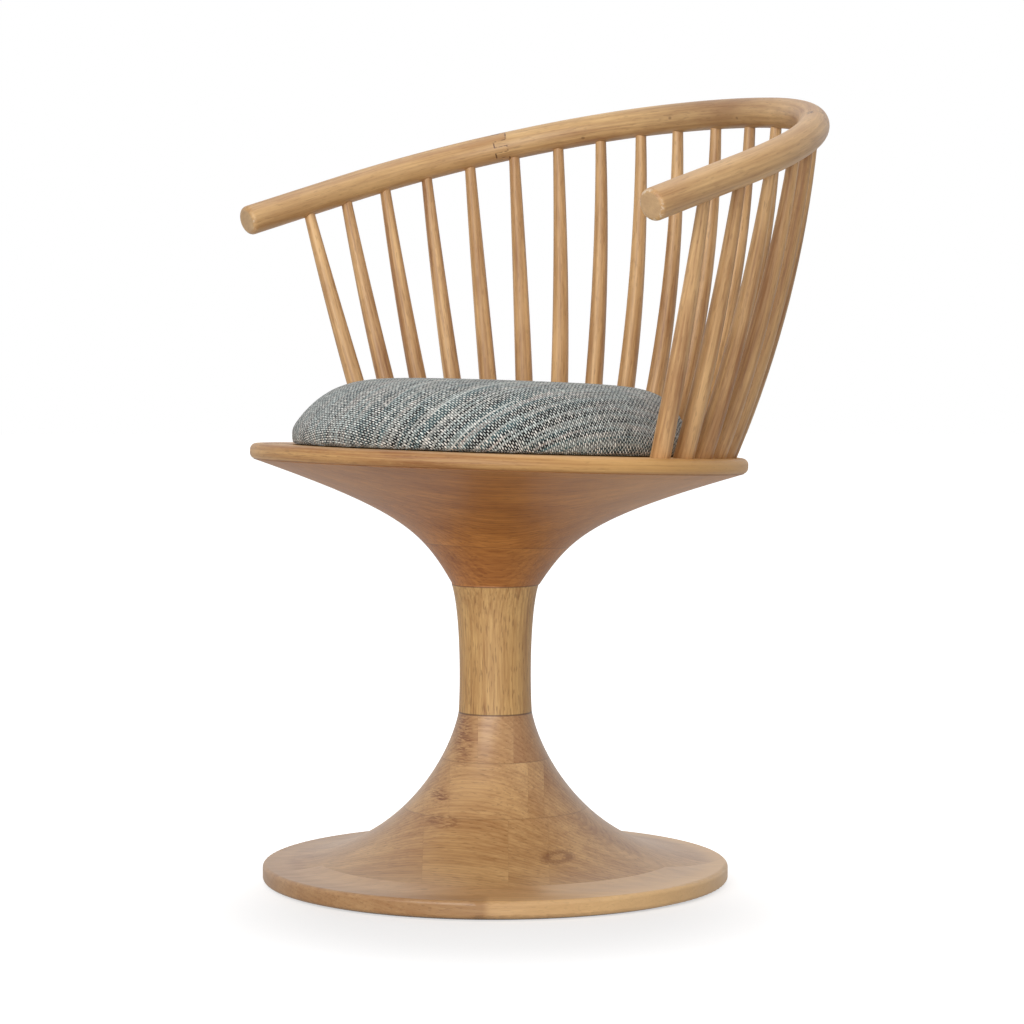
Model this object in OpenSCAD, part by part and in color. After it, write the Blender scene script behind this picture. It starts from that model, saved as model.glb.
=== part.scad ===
// Round dining chair on a turned wooden pedestal.
// The bell-shaped base and seat are turned from glued layers and joined by a waisted column.
// Twenty-one bowed spindles stand around the seat and carry a bent round rail in three lengths.
// Lengths are millimetres. The origin is on the floor on the column's axis, +Z is up,
// the sitter faces -Y and the back of the rail is at +Y.

/* [Base] */
// Diameter of the floor disc
base_d = 450; // [400:1:500]
// Thickness of the floor disc at its rim
base_rim_t = 16.7; // [14:0.1:19]
// Thickness of the board that the floor disc is turned from
base_board_t = 21.7; // [20:0.1:26]
// Height of the base above the felt, up to the column's shoulder
base_h = 161.6; // [150:0.1:180]
// Thickness of the two full layers glued on the floor disc
base_layer_t = 48; // [40:0.5:54]
// Diameter where the base meets the column
foot_neck_d = 71; // [60:0.5:80]
// How far the bell widens before its curve turns outwards
foot_swell = 9.2; // [6:0.1:14]
// Height over which the bell stays steep below the neck
foot_steep_h = 48.5; // [40:0.5:60]
// Radius at which the bell's tail lies down onto the disc
foot_tail_r = 101.4; // [90:0.2:115]
// Rounding of the disc's rim
base_round = 4; // [2:0.5:6]
// Thickness of the felt under the disc
felt_t = 1.5; // [1:0.1:3]
// How far the felt stays inside the disc's rim
felt_inset = 9; // [6:1:20]

/* [Column] */
// Height of the column between its two shoulders
column_h = 123.6; // [100:0.1:160]
// Diameter that the column's waist is drawn in towards
waist_d = 67.2; // [62:0.2:69]
// Diameter where the column meets the seat
seat_neck_d = 84; // [76:0.5:92]
// Height of the flare below the seat
column_flare_h = 26.3; // [18:0.1:40]
// Diameter of the round tenons at both ends of the column
tenon_d = 40; // [34:1:46]
// Length of the tenon in the base
lower_tenon_l = 38; // [30:1:42]
// Length of the tenon in the seat
upper_tenon_l = 30; // [24:1:33]

/* [Seat] */
// Angle by which the seat leans back
seat_tilt = 2.35; // [0:0.05:4]
// Radius of the seat at the middle of its rounded rim
seat_r = 239.6; // [225:0.2:255]
// Height of the sitting surface above the column's shoulder
seat_h = 129; // [124:0.5:140]
// Thickness of the board with the rounded rim
seat_board_t = 20; // [19:0.5:24]
// Height of the rounded rim
seat_rim_t = 15; // [13:0.5:17]
// Thickness of the two lower layers glued under the seat board
seat_layer_t = 38; // [36:0.5:42]
// How far the seat bell widens before its curve turns outwards
seat_swell = 30.6; // [24:0.2:38]
// Height over which the seat bell stays steep above the neck
seat_steep_h = 49.9; // [42:0.1:56]
// Radius at which the seat bell's tail begins
seat_tail_r = 93.9; // [86:0.1:110]
// Height at which the seat bell's tail begins
seat_tail_h = 68.4; // [60:0.1:74]

/* [Rail] */
// Diameter of the bent rail
rail_d = 30; // [27:0.5:34]
// Height of the rail's middle line above the sitting surface at the back
back_rise = 332.8; // [300:0.1:360]
// Distance from the column's axis to the rail's middle line at the back
back_reach = 288.3; // [275:0.1:300]
// Slope at which the rail falls towards the front
rail_slope = 16.45; // [12:0.05:20]
// Bend radius across the middle of the back
back_bend_r = 418; // [380:1:460]
// Half angle of the back bend
back_half_angle = 11; // [9:0.1:13]
// Bend radius of the shoulders
shoulder_bend_r = 271.7; // [262:0.1:282]
// Angle at which the shoulder bends end and the straight arms begin
shoulder_end_angle = 86; // [82:0.1:88]
// Length of the straight arms beyond the shoulder bends
arm_l = 124.5; // [115:0.5:140]
// Rounding of the arm ends
arm_round = 3.5; // [2:0.5:5]
// Distance of each finger joint past the last spindle of the crest rail, along the middle line
finger_past = 13; // [12.5:0.5:16]
// Length of the interlocking fingers
finger_l = 14; // [12:0.5:15]
// Thickness of each finger
finger_t = 6; // [5:0.25:7]

/* [Spindles] */
// Distance between spindles along the rail
rail_pitch = 48; // [46.5:0.1:49]
// Distance from the middle spindle to its neighbours along the rail
rail_first_pitch = 54; // [51:0.1:55]
// Angle between spindles around the seat
foot_pitch = 8.62; // [8:0.01:9]
// Angle from the middle spindle to its neighbours around the seat
foot_first_pitch = 8.97; // [8.2:0.01:9.5]
// Distance of the spindle feet inside the seat's rim
foot_inset = 23.6; // [20:0.1:30]
// Diameter of a spindle at its foot
spindle_foot_d = 19; // [17:0.1:21]
// Diameter of a spindle at the rail
spindle_top_d = 10.4; // [9:0.1:12]
// How much faster the taper runs near the rail
taper_power = 1.6; // [1:0.1:2.5]
// Outward bow of the middle spindle
back_bow = 16.6; // [8:0.1:20]
// Outward bow of the two front spindles
front_bow = 2.7; // [0.5:0.1:8]
// How quickly the bow fades from the back to the front
bow_power = 1.82; // [1:0.02:3]
// Depth of the sockets in the seat
socket_depth = 15; // [12:0.5:15.5]

/* [Cushion] */
// Radius of the cushion at its widest
cushion_r = 190.5; // [180:0.5:196]
// Height of the cushion's crown above the sitting surface
cushion_h = 66; // [50:0.5:80]
// How far the cushion lies forward of the column's axis
cushion_forward = 10; // [0:0.5:14]
// Height at which the cushion is widest
cushion_belly_h = 14; // [10:0.5:20]
// How far the sides are drawn in at the bottom
cushion_draw_in = 7; // [3:0.5:12]
// Rise of the crown over the top of the shoulders
cushion_crown = 2; // [0:0.5:6]
// Fullness of the shoulders on average around the cushion
shoulder_fullness = 6.6; // [5:0.1:8]
// How much fuller the shoulders are at the back than on average
fullness_change = 2.2; // [0:0.1:3]
// Roundness of the shoulders where they meet the sides
shoulder_roundness = 1.35; // [1.1:0.05:2]
// Thickness of the woven cover
cover_t = 1.2; // [0.8:0.1:2]
// Width of the cover turned in under the board
turn_in = 34; // [20:1:50]
// Thickness of the plywood board in the cushion
cushion_board_t = 9; // [6:0.5:12]
// Diameter of the grip discs between the board and the seat
grip_d = 50; // [40:1:60]
// Distance of the grip discs from the middle of the cushion
grip_ring_r = 100; // [80:1:110]

/* [Fastening] */
// Diameter of the threaded rod through the pedestal
rod_d = 12; // [10:0.5:14]
// Diameter of the rod's bore
rod_bore_d = 13; // [12.6:0.1:15]
// Width across the flats of the nuts
nut_flats = 19; // [17:0.5:22]
// Height of the nuts
nut_h = 10.8; // [8:0.1:12]
// Diameter of the washers
washer_d = 37; // [30:0.5:38]
// Thickness of the washers
washer_t = 3; // [2:0.5:4]
// Diameter of the hole in the floor disc that gives access to the lower nut
access_d = 46; // [44:1:52]
// Length of rod that shows past each nut
rod_end_l = 3; // [1:0.5:4]

/* [Fits] */
// Gap around tenons and spindle ends
fit_gap = 0.15; // [0.1:0.01:0.3]
// Gap left by the glue in the finger joints
glue_gap = 0.1; // [0.05:0.01:0.3]
// Gap left between the ends of tenons and the bottoms of their holes
end_gap = 0.5; // [0.3:0.1:1]
// Gap between soft pieces and what they lie on
soft_gap = 0.3; // [0.2:0.05:0.5]

/* [Hidden] */

$fn = 96;

// Heights of the base layers above the floor
disc_z = felt_t;
layer_lower_z = disc_z + base_board_t;
layer_middle_z = layer_lower_z + base_layer_t;
layer_upper_z = layer_middle_z + base_layer_t;
column_z = disc_z + base_h;
seat_z = column_z + column_h;

// Heights of the seat layers above the column's shoulder, square to the seat
seat_board_h = seat_h - seat_board_t;
seat_rim_low_h = seat_h - seat_rim_t;
seat_rim_round = seat_rim_t * 0.4;

// Cubic curve through the outside of each turned bell and of the column, as radius and height
base_rim_r = base_d / 2;
base_curve = [
    [foot_neck_d / 2, base_h],
    [foot_neck_d / 2 + foot_swell, base_h - foot_steep_h],
    [foot_tail_r, base_rim_t],
    [base_rim_r - base_round, base_rim_t]
];
column_curve = [
    [foot_neck_d / 2, 0],
    [waist_d / 2, column_flare_h],
    [waist_d / 2, column_h - column_flare_h],
    [seat_neck_d / 2, column_h]
];
seat_curve = [
    [seat_neck_d / 2, 0],
    [seat_neck_d / 2 + seat_swell, seat_steep_h],
    [seat_tail_r, seat_tail_h],
    [seat_r - seat_rim_round * 0.6, seat_rim_low_h]
];

// Ten spindles stand on each side of the middle one
side_n = 10;
middle_spindle = side_n + 1;
spindle_sides = 16;
spindle_rings = 9;
// How far a tenon is sunk in the spindle's body, and a bore is cut beyond the body's end
tenon_overlap = 3;
bore_lead = 6;
foot_r = seat_r - foot_inset;
// The spindle lines are aimed at the level of the rim's widest line
aim_h = seat_h - seat_rim_t / 3;
foot_tenon_d = spindle_foot_d * 0.95;

// The rail lies in one sloping plane, whose origin is the centre of the back bend
rail_r = rail_d / 2;
seat_middle_z = seat_z + seat_h * cos(seat_tilt);
rail_y = back_reach - back_bend_r * cos(rail_slope);
rail_z = seat_middle_z + back_rise - back_bend_r * sin(rail_slope);
shoulder_u = (back_bend_r - shoulder_bend_r) * sin(back_half_angle);
shoulder_v = (back_bend_r - shoulder_bend_r) * cos(back_half_angle);
back_bend_l = back_bend_r * back_half_angle * PI / 180;
shoulder_bend_l = shoulder_bend_r * (shoulder_end_angle - back_half_angle) * PI / 180;
bends_l = back_bend_l + shoulder_bend_l;
crest_side_n = 5;
finger_place = rail_place(crest_side_n) + finger_past;
finger_reach = finger_l / 2;
bend_step = 0.4;
bend_overlap = 0.6;
bend_overlap_angle = bend_overlap / back_bend_r * 180 / PI;

// Cushion outline
cushion_bottom_h = seat_h + soft_gap;
cushion_segments = 48;
cover_steps = [80, 72, 62, 50, 38, 26, 13, 0, -35, -65];
foam_steps = [78, 66, 52, 38, 24, 11, 0];
board_low_h = cushion_bottom_h + cover_t + soft_gap;
board_r = cushion_r - cushion_draw_in - cover_t - soft_gap;
grip_n = 4;

// Fastening
washer_room = 0.5;
spot_r = washer_d / 2 + washer_room;
upper_washer_z = seat_z + seat_layer_t * cos(seat_tilt) - spot_r * sin(seat_tilt);
lower_washer_z = layer_lower_z - washer_t;
nut_room = 0.4;
nut_across = nut_flats / cos(30);
rod_low_z = lower_washer_z - nut_h - rod_end_l;
rod_high_z = upper_washer_z + washer_t + nut_h + rod_end_l;

// Point on a cubic curve
function cubic(p, t) =
    pow(1 - t, 3) * p[0] + 3 * pow(1 - t, 2) * t * p[1]
    + 3 * (1 - t) * t * t * p[2] + pow(t, 3) * p[3];

// Place on a cubic curve where it reaches a height, found by halving
function place_at(p, h, a = 0, b = 1, n = 30) =
    let (m = (a + b) / 2)
    n == 0 ? m
    : (cubic(p, m)[1] - h) * (cubic(p, b)[1] - h) > 0 ? place_at(p, h, a, m, n - 1)
    : place_at(p, h, m, b, n - 1);

// Stretch of a cubic curve between two heights
function stretch(p, h0, h1, n) =
    let (t0 = place_at(p, h0), t1 = place_at(p, h1))
    [for (i = [0:n]) cubic(p, t0 + (t1 - t0) * i / n)];

function unit(v) = v / norm(v);

// Point of the seat's own frame, in the chair's frame
function on_seat(p) = [
    p[0],
    p[1] * cos(seat_tilt) + p[2] * sin(seat_tilt),
    seat_z - p[1] * sin(seat_tilt) + p[2] * cos(seat_tilt)
];
seat_normal = [0, sin(seat_tilt), cos(seat_tilt)];

// Bend angle of the rail at a distance along its middle line from the back
function rail_angle(l) =
    l < back_bend_l ? l / back_bend_r * 180 / PI
    : l < bends_l ? back_half_angle + (l - back_bend_l) / shoulder_bend_r * 180 / PI
    : shoulder_end_angle;

// Point of the rail's middle line in the rail's plane, on the +X side
function rail_uv(l) =
    let (a = rail_angle(l))
    l < back_bend_l ? back_bend_r * [sin(a), cos(a)]
    : [shoulder_u, shoulder_v] + shoulder_bend_r * [sin(a), cos(a)]
    + max(0, l - bends_l) * [cos(a), -sin(a)];

// The same point and the rail's direction there in the chair's frame
function rail_point(l, side) =
    let (p = rail_uv(l))
    [side * p[0], rail_y + p[1] * cos(rail_slope), rail_z + p[1] * sin(rail_slope)];
function rail_direction(l, side) =
    let (a = rail_angle(l))
    [side * cos(a), -sin(a) * cos(rail_slope), -sin(a) * sin(rail_slope)];

// Spindle k counted from the middle one: places, bow and middle line
function rail_place(j) = j == 0 ? 0 : rail_first_pitch + (j - 1) * rail_pitch;
function foot_angle(j) = j == 0 ? 0 : foot_first_pitch + (j - 1) * foot_pitch;
function top_end(j, side) = rail_point(rail_place(j), side);
function foot_end(j, side) =
    let (b = foot_angle(j))
    on_seat([side * foot_r * sin(b), foot_r * cos(b), aim_h]);
function bow(j) = front_bow + (back_bow - front_bow) * (1 - pow(j / side_n, bow_power));
function bow_direction(j, side) =
    let (
        t = top_end(j, side),
        f = foot_end(j, side),
        c = unit(f - t),
        m = (t + f) / 2,
        o = unit([m[0], m[1], 0])
    )
    unit(o - (o * c) * c);
function spindle_line(j, side, s) =
    top_end(j, side) * (1 - s) + foot_end(j, side) * s
    + bow_direction(j, side) * 4 * s * (1 - s) * bow(j);
function spindle_heading(j, side, s) =
    unit(foot_end(j, side) - top_end(j, side)
    + bow_direction(j, side) * 4 * (1 - 2 * s) * bow(j));
function spindle_radius(s) =
    spindle_top_d / 2
    + (spindle_foot_d - spindle_top_d) / 2 * (1 - pow(1 - s, taper_power));
function spindle_span(j, side) = norm(foot_end(j, side) - top_end(j, side));

// Where the tapered body ends, just clear of the rail and of the seat
body_clear = 0.3;
function top_stop(j, side) =
    let (
        lean = abs(spindle_heading(j, side, 0) * rail_direction(rail_place(j), side)),
        r = spindle_top_d / 2 * 1.1
    )
    ((rail_r + r * lean) / sqrt(1 - lean * lean) + body_clear) / spindle_span(j, side);
function foot_stop(j, side) =
    let (
        upright = abs(spindle_heading(j, side, 1) * seat_normal),
        r = spindle_foot_d / 2,
        rise = seat_h - aim_h + r * sqrt(1 - upright * upright) + body_clear
    )
    1 - rise / upright / spindle_span(j, side);

// Straight ends of a spindle, from where its body stops
function top_tenon_end(j, side, past) =
    let (s = top_stop(j, side))
    spindle_line(j, side, s)
    - spindle_heading(j, side, s) * (s * spindle_span(j, side) + past);
function foot_tenon_end(j, side, past) =
    let (
        s = foot_stop(j, side),
        p = spindle_line(j, side, s),
        d = spindle_heading(j, side, s),
        fall = (p - on_seat([0, 0, seat_h])) * seat_normal
    )
    p + d * ((fall + socket_depth) / abs(d * seat_normal) + past);

// Point of the cushion's outline at a step angle a, from 90 at the crown to 0 at the belly
// and -90 at the bottom, in the direction b around it, moved inwards by a thickness
function pad_outline(a, b, cut) =
    let (
        full = shoulder_fullness + fullness_change * sin(b),
        r = cushion_r - cut,
        top = cushion_h - soft_gap - cushion_crown - cut,
        x = a >= 0 ? pow(cos(a), 2 / full) : 0
    )
    a >= 0
    ? [
        r * x,
        cushion_belly_h + (top - cushion_belly_h) * pow(sin(a), 2 / shoulder_roundness)
        + cushion_crown * (1 - x * x)
    ]
    : [r - cushion_draw_in * (1 - cos(a)), cushion_belly_h * (1 + sin(a))];

// Ring of points around the cushion from a list of outline points, one for each direction
function pad_ring(outline) = [
    for (i = [0:cushion_segments - 1])
        let (b = 360 * i / cushion_segments, p = outline[i])
        [p[0] * cos(b), p[0] * sin(b), p[1]]
];
function pad_turn(i) = 360 * i / cushion_segments;
function outline_ring(a, cut) =
    pad_ring([for (i = [0:cushion_segments - 1]) pad_outline(a, pad_turn(i), cut)]);
function flat_ring(r, h) = pad_ring([for (i = [0:cushion_segments - 1]) [r, h]]);

// Closed skin over rings that run from one point on the axis to another
module ringed_solid(start, rings, finish) {
    n = cushion_segments;
    m = len(rings);
    last = m * n + 1;
    polyhedron(
        points = concat([start], [for (g = rings) each g], [finish]),
        faces = concat(
            [for (j = [0:n - 1]) [0, 1 + (j + 1) % n, 1 + j]],
            [
                for (i = [0:m - 2], j = [0:n - 1])
                    let (a = 1 + i * n + j, b = 1 + i * n + (j + 1) % n)
                    each [[a, b, b + n], [a, b + n, a + n]]
            ],
            [
                for (j = [0:n - 1])
                    [1 + (m - 1) * n + j, 1 + (m - 1) * n + (j + 1) % n, last]
            ]
        )
    );
}

module in_seat_frame() {
    translate([0, 0, seat_z]) rotate([-seat_tilt, 0, 0]) children();
}

module in_rail_frame() {
    translate([0, rail_y, rail_z]) rotate([rail_slope, 0, 0]) children();
}

// Frame on the rail's middle line with +X along the rail, inside the rail's frame
module at_rail_place(l) {
    p = rail_uv(l);
    translate([p[0], p[1], 0]) rotate([0, 0, -rail_angle(l)]) children();
}

// Cylinder from one point to another
module round_bar(from, to, d) {
    v = to - from;
    translate(from)
    rotate([0, acos(v[2] / norm(v)), atan2(v[1], v[0])])
    cylinder(d = d, h = norm(v), $fn = 32);
}

// Layer between two heights of a turned curve, solid to the axis
module turned_layer(curve, low, high, steps) {
    rotate_extrude()
    polygon(concat([[0, low]], stretch(curve, low, high, steps), [[0, high]]));
}

// Bend of the rail around a centre in its plane, between two angles from the back
module rail_bend(u, v, bend_r, from, to, d) {
    translate([u, v, 0])
    rotate_extrude(angle = to - from, start = 90 - to)
    translate([bend_r, 0])
    circle(d = d);
}

// Shoulder bend on the +X side, from its start or a later angle
module shoulder_bend(from, to) {
    rail_bend(shoulder_u, shoulder_v, shoulder_bend_r, from, to, rail_d);
}

// Rounded edge between two heights, around a flat disc that ends at radius x
module rounded_edge(x, low, high, r) {
    translate([x - r, low + r]) square([2 * r, high - low - 2 * r]);
    for (y = [low + r, high - r]) {
        translate([x, y]) circle(r);
    }
}

// The felt also closes the hole that gives access to the lower nut
module base_felt() {
    color("dimgray") cylinder(r = base_rim_r - felt_inset, h = felt_t);
}

module base_disc() {
    color("tan")
    translate([0, 0, disc_z])
    rotate_extrude()
    union() {
        polygon(concat(
            [[access_d / 2, 0], [base_rim_r - base_round, 0]],
            stretch(base_curve, base_rim_t, base_board_t, 12),
            [[access_d / 2, base_board_t]]
        ));
        rounded_edge(base_rim_r - base_round, 0, base_rim_t, base_round);
    }
}

module base_layer_lower() {
    color("burlywood")
    difference() {
        translate([0, 0, disc_z])
        turned_layer(base_curve, base_board_t, base_board_t + base_layer_t, 14);
        translate([0, 0, layer_lower_z - 1])
        cylinder(d = rod_bore_d, h = base_layer_t + 2);
    }
}

module base_layer_middle() {
    color("peru")
    difference() {
        translate([0, 0, disc_z])
        turned_layer(
            base_curve, base_board_t + base_layer_t, base_board_t + 2 * base_layer_t, 8
        );
        translate([0, 0, layer_middle_z - 1])
        cylinder(d = rod_bore_d, h = base_layer_t + 2);
    }
}

module base_layer_upper() {
    color("tan")
    difference() {
        translate([0, 0, disc_z])
        turned_layer(base_curve, base_board_t + 2 * base_layer_t, base_h, 8);
        translate([0, 0, layer_upper_z - 1])
        cylinder(d = rod_bore_d, h = column_z - layer_upper_z + 2);
        translate([0, 0, column_z - lower_tenon_l - end_gap])
        cylinder(d = tenon_d + 2 * fit_gap, h = lower_tenon_l + end_gap + 1);
    }
}

module column() {
    color("burlywood")
    difference() {
        union() {
            translate([0, 0, column_z]) turned_layer(column_curve, 0, column_h, 24);
            translate([0, 0, column_z - lower_tenon_l])
            cylinder(d = tenon_d, h = lower_tenon_l + column_h + upper_tenon_l);
        }
        translate([0, 0, column_z - lower_tenon_l - 1])
        cylinder(d = rod_bore_d, h = lower_tenon_l + column_h + upper_tenon_l + 2);
    }
}

// The bottom of this layer is cut level, so the whole seat leans back on the column
module seat_layer_lower() {
    color("peru")
    difference() {
        in_seat_frame()
        rotate_extrude()
        polygon(concat(
            [[0, -seat_neck_d * 0.05], [seat_neck_d / 2, -seat_neck_d * 0.05]],
            stretch(seat_curve, 0, seat_layer_t, 10),
            [[0, seat_layer_t]]
        ));
        translate([0, 0, seat_z - seat_neck_d]) cylinder(d = 2 * seat_neck_d, h = seat_neck_d);
        translate([0, 0, seat_z - 1])
        cylinder(d = tenon_d + 2 * fit_gap, h = upper_tenon_l + end_gap + 1);
        translate([0, 0, seat_z]) cylinder(d = rod_bore_d, h = seat_layer_t + 5);
        translate([0, 0, upper_washer_z]) cylinder(r = spot_r, h = seat_layer_t);
    }
}

// A pocket underneath traps the upper washer and keeps the nut from turning
module seat_layer_middle() {
    color("sienna")
    difference() {
        in_seat_frame() turned_layer(seat_curve, seat_layer_t, 2 * seat_layer_t, 10);
        translate([0, 0, upper_washer_z - 1])
        cylinder(r = spot_r, h = washer_t + nut_room + 1);
        translate([0, 0, upper_washer_z])
        cylinder(
            d = nut_across + 2 * nut_room,
            h = washer_t + nut_h + rod_end_l + 2,
            $fn = 6
        );
    }
}

module seat_layer_upper() {
    color("peru")
    in_seat_frame()
    turned_layer(seat_curve, 2 * seat_layer_t, seat_board_h, 12);
}

module seat_board() {
    rim_x = seat_r - seat_rim_round;
    color("burlywood")
    difference() {
        in_seat_frame()
        rotate_extrude()
        union() {
            polygon(concat(
                [[0, seat_board_h]],
                stretch(seat_curve, seat_board_h, seat_rim_low_h, 6),
                [[rim_x, seat_rim_low_h + seat_rim_round], [rim_x, seat_h], [0, seat_h]]
            ));
            rounded_edge(rim_x, seat_rim_low_h, seat_h, seat_rim_round);
        }
        for (j = [0:side_n], side = j == 0 ? [1] : [-1, 1]) {
            s = foot_stop(j, side);
            round_bar(
                spindle_line(j, side, s) - spindle_heading(j, side, s) * bore_lead,
                foot_tenon_end(j, side, end_gap),
                foot_tenon_d + 2 * fit_gap
            );
        }
    }
}

// Tapered, bowed body swept along its middle line, with a round tenon at each end
module spindle(number) {
    j = abs(number - middle_spindle);
    side = number < middle_spindle ? -1 : 1;
    s0 = top_stop(j, side);
    s1 = foot_stop(j, side);
    across = unit(cross(spindle_heading(j, side, 0.5), bow_direction(j, side)));
    n = spindle_sides;
    m = spindle_rings;
    rings = [
        for (i = [0:m])
            let (
                s = s0 + (s1 - s0) * i / m,
                p = spindle_line(j, side, s),
                d = spindle_heading(j, side, s),
                v = cross(d, across),
                r = spindle_radius(s)
            )
            [for (q = [0:n - 1]) p + r * (cos(360 * q / n) * across + sin(360 * q / n) * v)]
    ];
    color("burlywood") {
        polyhedron(
            points = [for (g = rings) each g],
            faces = concat(
                [[for (q = [0:n - 1]) q]],
                [
                    for (i = [0:m - 1], q = [0:n - 1])
                        let (a = i * n + q, b = i * n + (q + 1) % n)
                        each [[a, b + n, b], [a, a + n, b + n]]
                ],
                [[for (q = [n - 1:-1:0]) m * n + q]]
            )
        );
        round_bar(
            top_tenon_end(j, side, 0),
            spindle_line(j, side, s0) + tenon_overlap * spindle_heading(j, side, s0),
            spindle_top_d
        );
        round_bar(
            foot_tenon_end(j, side, 0),
            spindle_line(j, side, s1) - tenon_overlap * spindle_heading(j, side, s1),
            foot_tenon_d
        );
    }
}

// Slanted blind bores for the spindle tops, for spindles first to last on one side
module rail_bores(first, last, side) {
    for (j = [first:last]) {
        s = top_stop(j, side);
        round_bar(
            top_tenon_end(j, side, end_gap),
            spindle_line(j, side, s) + bore_lead * spindle_heading(j, side, s),
            spindle_top_d + 2 * fit_gap
        );
    }
}

// Slots of one side of a finger joint: every second finger is cut out, and all past the end
module finger_slots(first) {
    reach = 60;
    for (i = [first:2:2]) {
        for (w = i == 0 ? [0] : [-i, i]) {
            low = abs(w) == 2 ? (w < 0 ? -rail_r - 1 : 1.5 * finger_t - glue_gap / 2)
                : (w - 0.5) * finger_t - glue_gap / 2;
            high = abs(w) == 2 ? (w < 0 ? -1.5 * finger_t + glue_gap / 2 : rail_r + 1)
                : (w + 0.5) * finger_t + glue_gap / 2;
            translate([-finger_reach - glue_gap / 2, -rail_d, low])
            cube([reach, 2 * rail_d, high - low]);
        }
    }
    translate([finger_reach - glue_gap / 2, -rail_d, -rail_d])
    cube([reach, 2 * rail_d, 2 * rail_d]);
}

// The back bend is a hair thinner and enters the shoulder bends by a short length
module crest_rail() {
    joint_angle = rail_angle(finger_place + finger_l);
    back_angle = back_half_angle + bend_overlap_angle;
    color("burlywood")
    difference() {
        in_rail_frame()
        difference() {
            union() {
                rail_bend(0, 0, back_bend_r, -back_angle, back_angle, rail_d - bend_step);
                shoulder_bend(back_half_angle, joint_angle);
                mirror([1, 0, 0]) shoulder_bend(back_half_angle, joint_angle);
            }
            at_rail_place(finger_place) finger_slots(1);
            mirror([1, 0, 0]) at_rail_place(finger_place) finger_slots(1);
        }
        rail_bores(0, crest_side_n, 1);
        rail_bores(1, crest_side_n, -1);
    }
}

// The arm on the +X side, whose straight part enters the shoulder bend in the same way
module arm() {
    joint_angle = rail_angle(finger_place - finger_l);
    r = (rail_d - bend_step) / 2;
    difference() {
        in_rail_frame()
        difference() {
            union() {
                shoulder_bend(joint_angle, shoulder_end_angle);
                at_rail_place(bends_l)
                rotate([0, 90, 0])
                rotate_extrude()
                union() {
                    translate([0, -bend_overlap]) square([r - arm_round, arm_l + bend_overlap]);
                    translate([0, -bend_overlap]) square([r, arm_l - arm_round + bend_overlap]);
                    translate([r - arm_round, arm_l - arm_round]) circle(arm_round);
                }
            }
            at_rail_place(finger_place) rotate([0, 0, 180]) finger_slots(0);
        }
        rail_bores(crest_side_n + 1, side_n, 1);
    }
}

module arm_right() {
    color("tan") arm();
}

module arm_left() {
    color("tan") mirror([1, 0, 0]) arm();
}

module in_cushion_frame() {
    in_seat_frame() translate([0, -cushion_forward, cushion_bottom_h]) children();
}

// Woven cover: crowned on top, drawn in at the bottom and turned in under the board
module cushion() {
    turn_in_r = board_r - turn_in;
    outer = [for (a = concat(cover_steps, [-90])) outline_ring(a, 0)];
    inner = [for (i = [len(cover_steps) - 1:-1:0]) outline_ring(cover_steps[i], cover_t)];
    color("lightslategray")
    in_cushion_frame()
    ringed_solid(
        [0, 0, pad_outline(90, 0, 0)[1]],
        concat(
            outer,
            [flat_ring(turn_in_r, 0), flat_ring(turn_in_r, cover_t)],
            [flat_ring(cushion_r - cushion_draw_in - cover_t, cover_t)],
            inner
        ),
        [0, 0, pad_outline(90, 0, cover_t)[1]]
    );
}

// Foam block between the cover and the board
module cushion_foam() {
    cut = cover_t + soft_gap;
    low_h = board_low_h - cushion_bottom_h + cushion_board_t + soft_gap;
    edge_r = cushion_r - cut - soft_gap;
    color("ivory")
    in_cushion_frame()
    ringed_solid(
        [0, 0, pad_outline(90, 0, cut)[1]],
        concat(
            [for (a = foam_steps) outline_ring(a, cut)],
            [flat_ring(edge_r, low_h)]
        ),
        [0, 0, low_h]
    );
}

module cushion_board() {
    color("tan")
    in_seat_frame()
    translate([0, -cushion_forward, board_low_h])
    cylinder(r = board_r, h = cushion_board_t);
}

// Hook-and-loop discs that keep the cushion from sliding
module grip_discs() {
    color("black")
    in_seat_frame()
    translate([0, -cushion_forward, seat_h])
    for (i = [0:grip_n - 1]) {
        rotate([0, 0, 45 + 360 * i / grip_n])
        translate([grip_ring_r, 0, 0])
        cylinder(d = grip_d, h = board_low_h - seat_h);
    }
}

module tie_rod() {
    color("silver")
    translate([0, 0, rod_low_z])
    cylinder(d = rod_d, h = rod_high_z - rod_low_z);
}

module washer(z) {
    translate([0, 0, z])
    difference() {
        cylinder(d = washer_d, h = washer_t);
        translate([0, 0, -1]) cylinder(d = rod_bore_d, h = washer_t + 2);
    }
}

module rod_washers() {
    color("silver") {
        washer(lower_washer_z);
        washer(upper_washer_z);
    }
}

module nut(z) {
    translate([0, 0, z])
    difference() {
        cylinder(d = nut_across, h = nut_h, $fn = 6);
        translate([0, 0, -1]) cylinder(d = rod_d + 2 * fit_gap, h = nut_h + 2);
    }
}

module rod_nuts() {
    color("silver") {
        nut(lower_washer_z - nut_h);
        nut(upper_washer_z + washer_t);
    }
}

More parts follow.
